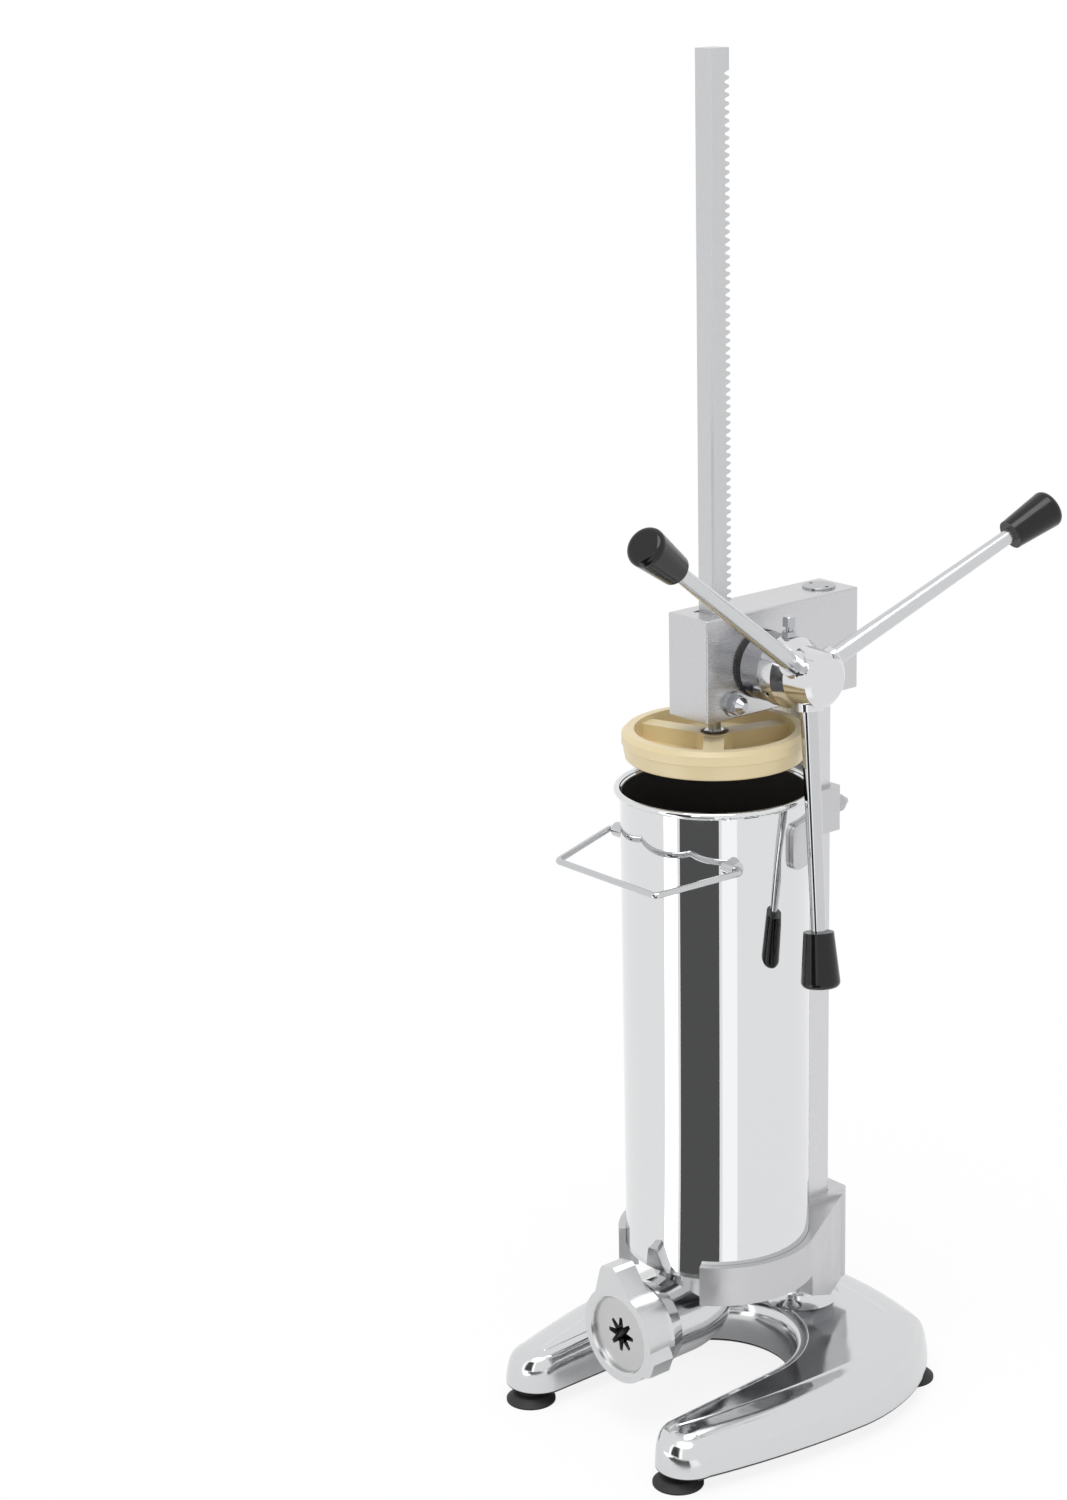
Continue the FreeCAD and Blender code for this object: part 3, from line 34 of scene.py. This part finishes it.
def add(material, kind, inputs=(), **settings):
    """Adds one shader node with its settings, and its inputs' values or links."""
    made = material.node_tree.nodes.new(kind)
    for name, value in settings.items():
        setattr(made, name, value)
    for socket, value in dict(inputs).items():
        if isinstance(value, bpy.types.NodeSocket):
            material.node_tree.links.new(value, made.inputs[socket])
        else:
            made.inputs[socket].default_value = value
    return made


def surface(name, colour, metallic, roughness):
    """A new material; returns it with its Principled shader and the piece's own coordinates."""
    material = bpy.data.materials.new(name)
    material.use_nodes = True
    shader = material.node_tree.nodes["Principled BSDF"]
    shader.inputs["Base Color"].default_value = linear(colour)
    shader.inputs["Metallic"].default_value = metallic
    shader.inputs["Roughness"].default_value = roughness
    place = add(material, "ShaderNodeTexCoord").outputs["Object"]
    return material, shader, place


def link(material, output, shader, socket):
    """Feeds a shader's socket from another node."""
    material.node_tree.links.new(output, shader.inputs[socket])


def roughen(material, shader, pattern, low, high, start=0.3, end=0.7):
    """Lets the roughness go from low to high as a pattern goes from start to end."""
    spread = {"Value": pattern, "From Min": start, "From Max": end, "To Min": low, "To Max": high}
    rough = add(material, "ShaderNodeMapRange", spread)
    link(material, rough.outputs["Result"], shader, "Roughness")


def emboss(material, shader, pattern, strength, depth):
    """Lets a pattern raise the surface, by up to a depth in metres."""
    bump = add(material, "ShaderNodeBump", {"Height": pattern, "Strength": strength, "Distance": depth})
    link(material, bump.outputs["Normal"], shader, "Normal")


def dress(material, *names):
    """Gives CAD nodes their finish."""
    for name in names:
        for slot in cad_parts[name].material_slots:
            slot.material = material


# polished cast aluminium: a mirror with slow waves left by the wheel, softer in its hollows, and
# with painted shade: coloured dark grey along the slanted lip under its edge, for the shadowed floor it
# mirrors
polished_casting, shader, place = surface("polished_cast_aluminium", "#D4D5D6", 1.0, 0.08)
waves = add(polished_casting, "ShaderNodeTexNoise", {"Vector": place, "Scale": 1 / 0.07, "Detail": 1.0})
haze = add(polished_casting, "ShaderNodeTexNoise", {"Vector": place, "Scale": 1 / 0.012, "Detail": 3.0})
roughen(polished_casting, shader, haze.outputs["Fac"], 0.09, 0.17, start=0.35)
height = add(polished_casting, "ShaderNodeSeparateXYZ", {"Vector": place})
# painted shade: below LIP_TOP the lip is coloured dark grey, standing in for the shadowed floor that it
# mirrors
lip_shade_mask = add(polished_casting, "ShaderNodeMath", {0: height.outputs["Z"], 1: LIP_TOP}, operation="LESS_THAN")
lip_shade_colour = add(polished_casting, "ShaderNodeMix",
           {"Factor": lip_shade_mask.outputs["Value"], MIX_A: linear("#D4D5D6"), MIX_B: linear("#404041")},
           data_type="RGBA")
link(polished_casting, lip_shade_colour.outputs[MIX_COLOUR], shader, "Base Color")
emboss(polished_casting, shader, waves.outputs["Fac"], 0.6, 0.003)
dress(polished_casting, "base_casting")


# ---- feet ------------------------------------------------------------------------------
# Four moulded rubber suction cups under the legs' ends and the rear corners, each held by
# a countersunk screw through its neck.
# black rubber: matte, a little grey from handling and flour dust
rubber, shader, place = surface("black_rubber", "#1B1B1C", 0.0, 0.62)
dust = add(rubber, "ShaderNodeTexNoise", {"Vector": place, "Scale": 1 / 0.006, "Detail": 4.0})
tint = add(rubber, "ShaderNodeMix",
           {"Factor": dust.outputs["Fac"], MIX_A: linear("#161617"), MIX_B: linear("#262627")},
           data_type="RGBA")
link(rubber, tint.outputs[MIX_COLOUR], shader, "Base Color")
emboss(rubber, shader, dust.outputs["Fac"], 0.2, 0.0003)
dress(rubber, "suction_cup_front_left", "suction_cup_front_right", "suction_cup_rear_left",
      "suction_cup_rear_right", "bearing_seal")


# ---- cradle and yoke -------------------------------------------------------------------
# Sand castings in aluminium: a saddle that holds the cylinder's foot, with the block that
# clamps the column, and a strap round the cylinder's top. Tumbled, not polished.
# tumbled cast aluminium: an even satin with a fine pebbled grain of about 0.8 mm
satin_casting, shader, place = surface("tumbled_cast_aluminium", "#C6C6C8", 1.0, 0.36)
grain = add(satin_casting, "ShaderNodeTexNoise", {"Vector": place, "Scale": 1 / 0.0008, "Detail": 2.0})
cloud = add(satin_casting, "ShaderNodeTexNoise", {"Vector": place, "Scale": 1 / 0.02, "Detail": 3.0})
roughen(satin_casting, shader, cloud.outputs["Fac"], 0.28, 0.42)
emboss(satin_casting, shader, grain.outputs["Fac"], 0.25, 0.0001)
dress(satin_casting, "cradle", "yoke")


# ---- lever hub -------------------------------------------------------------------------
# A smaller casting in the same aluminium, with a turned face and three sockets for the rods,
# linished on a belt and buffed.
# buffed cast aluminium: nearly a mirror on the flats, with a slight haze
buffed_casting, shader, place = surface("buffed_cast_aluminium", "#D8D8DA", 1.0, 0.12)
cloud = add(buffed_casting, "ShaderNodeTexNoise", {"Vector": place, "Scale": 1 / 0.008, "Detail": 3.0})
roughen(buffed_casting, shader, cloud.outputs["Fac"], 0.07, 0.17)
emboss(buffed_casting, shader, cloud.outputs["Fac"], 0.2, 0.0003)
dress(buffed_casting, "lever_hub")


# ---- column ----------------------------------------------------------------------------
# A flat bar of cold-drawn steel, ground along its length and clamped in the cradle.
def stretched_noise(material, place, sizes, detail):
    """A noise whose grains have these sizes in metres along X, Y and Z."""
    stretched = add(material, "ShaderNodeMapping", {"Vector": place, "Scale": [1 / size for size in sizes]})
    return add(material, "ShaderNodeTexNoise",
               {"Vector": stretched.outputs["Vector"], "Scale": 1.0, "Detail": detail})


# ground steel: a satin with streaks that run up the bar
column_steel, shader, place = surface("ground_steel_bar", "#D2D2D4", 1.0, 0.3)
streaks = stretched_noise(column_steel, place, (0.0007, 0.0007, 0.09), 3.0)
roughen(column_steel, shader, streaks.outputs["Fac"], 0.22, 0.38)
emboss(column_steel, shader, streaks.outputs["Fac"], 0.15, 0.00005)
dress(column_steel, "column")


# ---- head block ------------------------------------------------------------------------
# Sawn from an aluminium bar and milled all over, with its edges broken, slotted for the
# rack and bored for the pinion. It sits on the column's tenon.
# milled aluminium: satin, with cutter lines along the block
milled, shader, place = surface("milled_aluminium", "#C9C9CB", 1.0, 0.3)
lines = stretched_noise(milled, place, (0.0006, 0.05, 0.0006), 2.0)
roughen(milled, shader, lines.outputs["Fac"], 0.2, 0.3)
emboss(milled, shader, lines.outputs["Fac"], 0.03, 0.00004)
dress(milled, "head_block")


# ---- screws, bolts, nuts and washers ---------------------------------------------------
# Standard steel hardware, bright zinc plated.
# bright zinc: a clear silvery plate, a little uneven
zinc, shader, place = surface("bright_zinc_plate", "#B4B5B9", 1.0, 0.12)
blotch = add(zinc, "ShaderNodeTexNoise", {"Vector": place, "Scale": 1 / 0.004, "Detail": 3.0})
roughen(zinc, shader, blotch.outputs["Fac"], 0.08, 0.18)
dress(zinc, "cup_screws", "cradle_bolts", "column_clamp_screws", "yoke_washers", "yoke_screws",
      "column_tie_bolts", "guide_bolt_washer", "guide_bolt", "piston_washer", "piston_nut",
      "piston_lower_washer", "piston_cap_nut", "shaft_end_washer", "shaft_end_screw", "hub_lock_screw",
      "hub_lock_nut", "hub_set_screws")


# ---- bearing and gear ------------------------------------------------------------------
# A turned and polished steel sleeve carries the pinion's shaft in bronze bushes. The gear,
# its key and the brass guide pad are hidden in the head.
# turned steel: bright, with fine rings about the shaft
turned, shader, place = surface("turned_steel", "#ABACAE", 1.0, 0.2)
rings = stretched_noise(turned, place, (0.0006, 0.03, 0.03), 2.0)
emboss(turned, shader, rings.outputs["Fac"], 0.12, 0.00005)
dress(turned, "bearing_sleeve", "head_plug", "pinion", "pinion_shaft", "pinion_key", "piston_stud")

# bearing bronze: warm yellow, turned, dulled by grease
bronze, shader, place = surface("bearing_bronze", "#B98E4E", 1.0, 0.33)
grease = add(bronze, "ShaderNodeTexNoise", {"Vector": place, "Scale": 1 / 0.005, "Detail": 3.0})
roughen(bronze, shader, grease.outputs["Fac"], 0.24, 0.45)
dress(bronze, "pinion_bush_left", "pinion_bush_right", "guide_pad")


# ---- rack ------------------------------------------------------------------------------
# A square bar of drawn steel with straight teeth milled in its rear face, and the steel
# shoe that it slides on.
# drawn steel: satin grey with streaks along the bar
rack_steel, shader, place = surface("milled_rack_steel", "#C7C8CA", 1.0, 0.32)
streaks = stretched_noise(rack_steel, place, (0.0008, 0.0008, 0.12), 3.0)
roughen(rack_steel, shader, streaks.outputs["Fac"], 0.25, 0.42)
emboss(rack_steel, shader, streaks.outputs["Fac"], 0.15, 0.00006)
dress(rack_steel, "rack", "rack_shoe")


# ---- lever rods and wire handle --------------------------------------------------------
# Steel rods and a bent steel wire, polished and chromed. The wire's ends turn in two bosses
# soldered to the cylinder.
# decorative chrome: a hard clear mirror
chrome, shader, place = surface("decorative_chrome", "#C6C7C9", 1.0, 0.05)
ripple = add(chrome, "ShaderNodeTexNoise", {"Vector": place, "Scale": 1 / 0.01, "Detail": 1.0})
emboss(chrome, shader, ripple.outputs["Fac"], 0.1, 0.0001)
dress(chrome, "lever_rod_down", "wire_handle", "handle_lugs")

# satin chrome: the plate over a ground rod, hazed by hands where they take hold of it
satin_chrome, shader, place = surface("satin_chrome", "#CBCCCE", 1.0, 0.2)
wear = add(satin_chrome, "ShaderNodeTexNoise", {"Vector": place, "Scale": 1 / 0.012, "Detail": 4.0})
roughen(satin_chrome, shader, wear.outputs["Fac"], 0.15, 0.27)
emboss(satin_chrome, shader, wear.outputs["Fac"], 0.1, 0.0001)
dress(satin_chrome, "lever_rod_rear", "lever_rod_front")


# ---- lever grips -----------------------------------------------------------------------
# Three tapered grips moulded in black phenolic plastic and pressed on the rods.
# black phenolic: glossy, with the faint mottle of the moulding
phenolic, shader, place = surface("black_phenolic", "#0D0D0E", 0.0, 0.16)
shader.inputs["Specular IOR Level"].default_value = 0.4
mottle = add(phenolic, "ShaderNodeTexNoise", {"Vector": place, "Scale": 1 / 0.003, "Detail": 2.0})
roughen(phenolic, shader, mottle.outputs["Fac"], 0.12, 0.22)
dress(phenolic, "lever_grip_rear", "lever_grip_front", "lever_grip_down")


# ---- piston ----------------------------------------------------------------------------
# Turned from cast nylon, dished on top with ribs round the boss. Its stud screws into the
# rack's end.
TURNED_FEED = 0.001       # from one turning ring to the next


def from_axis(material, place):
    """The distance from the machine's upright axis, in metres."""
    level = add(material, "ShaderNodeVectorMath", {0: place, 1: (1.0, 1.0, 0.0)}, operation="MULTIPLY")
    return add(material, "ShaderNodeVectorMath", {0: level.outputs["Vector"]}, operation="LENGTH")


# cast nylon: creamy and waxy, with turning rings 1 mm apart
nylon, shader, place = surface("cast_nylon", "#E4D3A9", 0.0, 0.34)
radius = from_axis(nylon, place)
turns = add(nylon, "ShaderNodeMath",
            {0: radius.outputs["Value"], 1: 2 * math.pi / TURNED_FEED}, operation="MULTIPLY")
groove = add(nylon, "ShaderNodeMath", {0: turns.outputs["Value"]}, operation="SINE")
emboss(nylon, shader, groove.outputs["Value"], 0.08, 0.00005)
shader.inputs["Subsurface Weight"].default_value = 0.15
shader.inputs["Subsurface Radius"].default_value = (0.004, 0.003, 0.002)
dress(nylon, "piston")


# ---- cylinder --------------------------------------------------------------------------
# Rolled from stainless sheet, welded, ground flush and mirror polished outside, with a
# beaded rim. Inside, the wall is painted dark grey and matte as painted shade for the shadowed bore.
MID_WALL_R = 0.0742       # between the wall's inner and outer face

# mirror-polished stainless: the barest roughness, with waves along the rolled sheet
mirror_steel, shader, place = surface("mirror_polished_stainless", "#DCDDDE", 1.0, 0.03)
sheet = stretched_noise(mirror_steel, place, (0.06, 0.06, 0.4), 1.0)
emboss(mirror_steel, shader, sheet.outputs["Fac"], 0.1, 0.0004)
radius = from_axis(mirror_steel, place)
outside = add(mirror_steel, "ShaderNodeMath",
              {0: radius.outputs["Value"], 1: MID_WALL_R}, operation="GREATER_THAN")
# painted shade: inside MID_WALL_R the wall takes a dark grey, rough, non-metal finish in place of the shade
# within the cylinder
inside_shade_colour = add(mirror_steel, "ShaderNodeMix",
           {"Factor": outside.outputs["Value"], MIX_A: linear("#3C3B39"), MIX_B: linear("#DCDDDE")},
           data_type="RGBA")
link(mirror_steel, inside_shade_colour.outputs[MIX_COLOUR], shader, "Base Color")
link(mirror_steel, outside.outputs["Value"], shader, "Metallic")
roughen(mirror_steel, shader, outside.outputs["Value"], 0.45, 0.03, start=0.0, end=1.0)
dress(mirror_steel, "cylinder")


# ---- outlet, ring nut and star die -----------------------------------------------------
# The elbow is an aluminium casting, polished like the base, and the lugged ring nut is one
# that was turned and buffed. The nut holds a steel disc with the star that shapes the churro.
dress(polished_casting, "outlet_elbow")

# turned and buffed aluminium: a soft mirror with fine rings about the spout
turned_casting, shader, place = surface("turned_cast_aluminium", "#D0D1D2", 1.0, 0.24)
rings = stretched_noise(turned_casting, place, (0.03, 0.0007, 0.03), 2.0)
roughen(turned_casting, shader, rings.outputs["Fac"], 0.19, 0.26)
emboss(turned_casting, shader, rings.outputs["Fac"], 0.04, 0.00004)
dress(turned_casting, "ring_nut")

# punched stainless disc: satin, ground flat
die_steel, shader, place = surface("satin_stainless_disc", "#C2C2C2", 1.0, 0.34)
scratch = add(die_steel, "ShaderNodeTexNoise", {"Vector": place, "Scale": 1 / 0.0015, "Detail": 4.0})
roughen(die_steel, shader, scratch.outputs["Fac"], 0.28, 0.42)
dress(die_steel, "star_die")


# ---- studio ----------------------------------------------------------------------------
# A white floor in a white room under one wide soft sun. As painted reflections, a glowing dark card between
# two glowing bright ones lies on the floor in front, and shows only in polished metal, as two far cards do.
def glowing(name, colour, strength):
    """A material that glows evenly, as a lit card does."""
    material = bpy.data.materials.new(name)
    material.use_nodes = True
    material.node_tree.nodes.clear()
    glow = add(material, "ShaderNodeEmission", {"Color": linear(colour), "Strength": strength})
    add(material, "ShaderNodeOutputMaterial", {"Surface": glow.outputs["Emission"]})
    return material


def card(name, colour, strength, place_of):
    """A flat glowing card, seen in reflections alone.

    place_of gives a point's place from how far it is across and up the card, each from 0 to 1.
    """
    bpy.ops.mesh.primitive_grid_add(x_subdivisions=2, y_subdivisions=2, size=1.0)
    made = bpy.context.active_object
    made.name = name
    for vertex in made.data.vertices:
        vertex.co = place_of(vertex.co.x + 0.5, vertex.co.y + 0.5)
    made.data.materials.append(glowing(name, colour, strength))
    made.visible_camera = False
    made.visible_diffuse = False
    made.visible_shadow = False
    made.visible_transmission = False


CARD_NEAR, CARD_FAR = 0.33, 1.9           # ends of the cards on the floor, from the cylinder's axis
CARD_HEIGHT = 0.001                       # their height, just over the floor


def spot(distance, angle, height):
    """A place at a distance from the cylinder's axis and an angle in degrees from +X."""
    turn = math.radians(angle)
    return Vector((distance * math.cos(turn), distance * math.sin(turn), height))


def floor_card(name, colour, strength, near, far):
    """A card that lies on the floor, between two angles at its near and two at its far end."""
    near_start, near_end = (spot(CARD_NEAR, angle, CARD_HEIGHT) for angle in near)
    far_start, far_end = (spot(CARD_FAR, angle, CARD_HEIGHT) for angle in far)
    card(name, colour, strength,
         lambda across, out: near_start.lerp(near_end, across).lerp(far_start.lerp(far_end, across), out))


# painted reflections: these floor cards glow, light nothing and cast no shadow, and put the bright bands and
# the dark stripe into the cylinder's mirror
floor_card("bright_card_left", "#FFFFFF", 2.5, (-106.8, -89.2), (-105.6, -88.6))
floor_card("dark_card", "#595959", 1.0, (-86.4, -41.2), (-85.0, -38.2))
floor_card("bright_card_right", "#FFFFFF", 1.25, (-37.9, -21.3), (-35.0, -17.0))

FAR_AIM = -83.0           # degrees from +X, where the far cards stand


def far_card(name, colour, strength, away, width, bottom, top):
    """An upright card some way off, square to the machine."""
    middle = spot(away, FAR_AIM, 0)
    sideways = spot(width, FAR_AIM + 90, 0)
    card(name, colour, strength,
         lambda across, up: middle + sideways * (across - 0.5) + Vector((0, 0, bottom + (top - bottom) * up)))


# painted reflections: the far cards put the small dark squares with bright surrounds into the base's polished
# leg tips
far_card("far_dark_card", "#3A3A3A", 1.0, 1.6, 0.82, 0.07, 1.45)
far_card("far_bright_card", "#FFFFFF", 1.6, 1.7, 1.5, 0.06, 1.9)

FLOOR_SEEN = 0.86         # how much of the floor's own white the camera sees, the rest being lit
FLOOR_MIRRORED = 0.05     # and how much of it metal mirrors
bpy.ops.mesh.primitive_plane_add(size=200.0, location=(0, 0, 0))
floor = bpy.context.active_object
floor.name = "floor"
floor_paint = bpy.data.materials.new("white_floor")
floor_paint.use_nodes = True
floor_paint.node_tree.nodes.clear()
ray = add(floor_paint, "ShaderNodeLightPath")
shade = add(floor_paint, "ShaderNodeBsdfDiffuse", {"Color": linear("#FFFFFF")})
glow = add(floor_paint, "ShaderNodeEmission", {"Color": linear("#FFFFFF"), "Strength": 1.0})
mirrored = add(floor_paint, "ShaderNodeMath",
               {0: ray.outputs["Is Glossy Ray"], 1: ray.outputs["Is Transmission Ray"]}, operation="MAXIMUM")
faint = add(floor_paint, "ShaderNodeMath",
            {0: mirrored.outputs["Value"], 1: FLOOR_MIRRORED}, operation="MULTIPLY")
seen = add(floor_paint, "ShaderNodeMath",
           {0: ray.outputs["Is Camera Ray"], 1: FLOOR_SEEN}, operation="MULTIPLY")
share = add(floor_paint, "ShaderNodeMath",
            {0: seen.outputs["Value"], 1: faint.outputs["Value"]}, operation="MAXIMUM")
mixed = add(floor_paint, "ShaderNodeMixShader",
            {0: share.outputs["Value"], 1: shade.outputs["BSDF"], 2: glow.outputs["Emission"]})
add(floor_paint, "ShaderNodeOutputMaterial", {"Surface": mixed.outputs["Shader"]})
floor.data.materials.append(floor_paint)

ROOM_LIGHT = 0.62         # what the white room gives matte surfaces
room = bpy.data.worlds.new("white_room")
bpy.context.scene.world = room
room.use_nodes = True
room.node_tree.nodes.clear()
ray = add(room, "ShaderNodeLightPath")
mirrored = add(room, "ShaderNodeMath",
               {0: ray.outputs["Is Glossy Ray"], 1: ray.outputs["Is Transmission Ray"]}, operation="MAXIMUM")
seen = add(room, "ShaderNodeMath",
           {0: ray.outputs["Is Camera Ray"], 1: mirrored.outputs["Value"]}, operation="MAXIMUM")
level = add(room, "ShaderNodeMapRange",
            {"Value": seen.outputs["Value"], "From Min": 0.0, "From Max": 1.0,
             "To Min": ROOM_LIGHT, "To Max": 1.0})
air = add(room, "ShaderNodeBackground", {"Color": linear("#FFFFFF"), "Strength": level.outputs["Result"]})
add(room, "ShaderNodeOutputWorld", {"Surface": air.outputs["Background"]})

SUN_FROM = (0.25, -0.35, 1.0)             # the direction towards the sun
sun = bpy.data.lights.new("soft_sun", "SUN")
sun.energy = 1.3
sun.angle = math.radians(40)
lamp = bpy.data.objects.new("soft_sun", sun)
bpy.context.scene.collection.objects.link(lamp)
lamp.rotation_euler = Vector(SUN_FROM).to_track_quat("Z", "Y").to_euler()

eye = bpy.data.cameras.new("camera")
eye.lens = 73.10
eye.sensor_fit = "VERTICAL"
eye.sensor_height = 36.0
view = bpy.data.objects.new("camera", eye)
bpy.context.scene.collection.objects.link(view)
EYE_AT = (1.6923, -1.5613, 1.2384)
EYE_RIGHT = (0.6362, 0.7712, -0.0222)
EYE_UP = (-0.2044, 0.1962, 0.9590)
EYE_BACK = (0.7440, -0.6056, 0.2825)
view.matrix_world = Matrix((*zip(EYE_RIGHT, EYE_UP, EYE_BACK, EYE_AT), (0, 0, 0, 1)))
bpy.context.scene.camera = view
bpy.context.scene.view_settings.view_transform = "Standard"
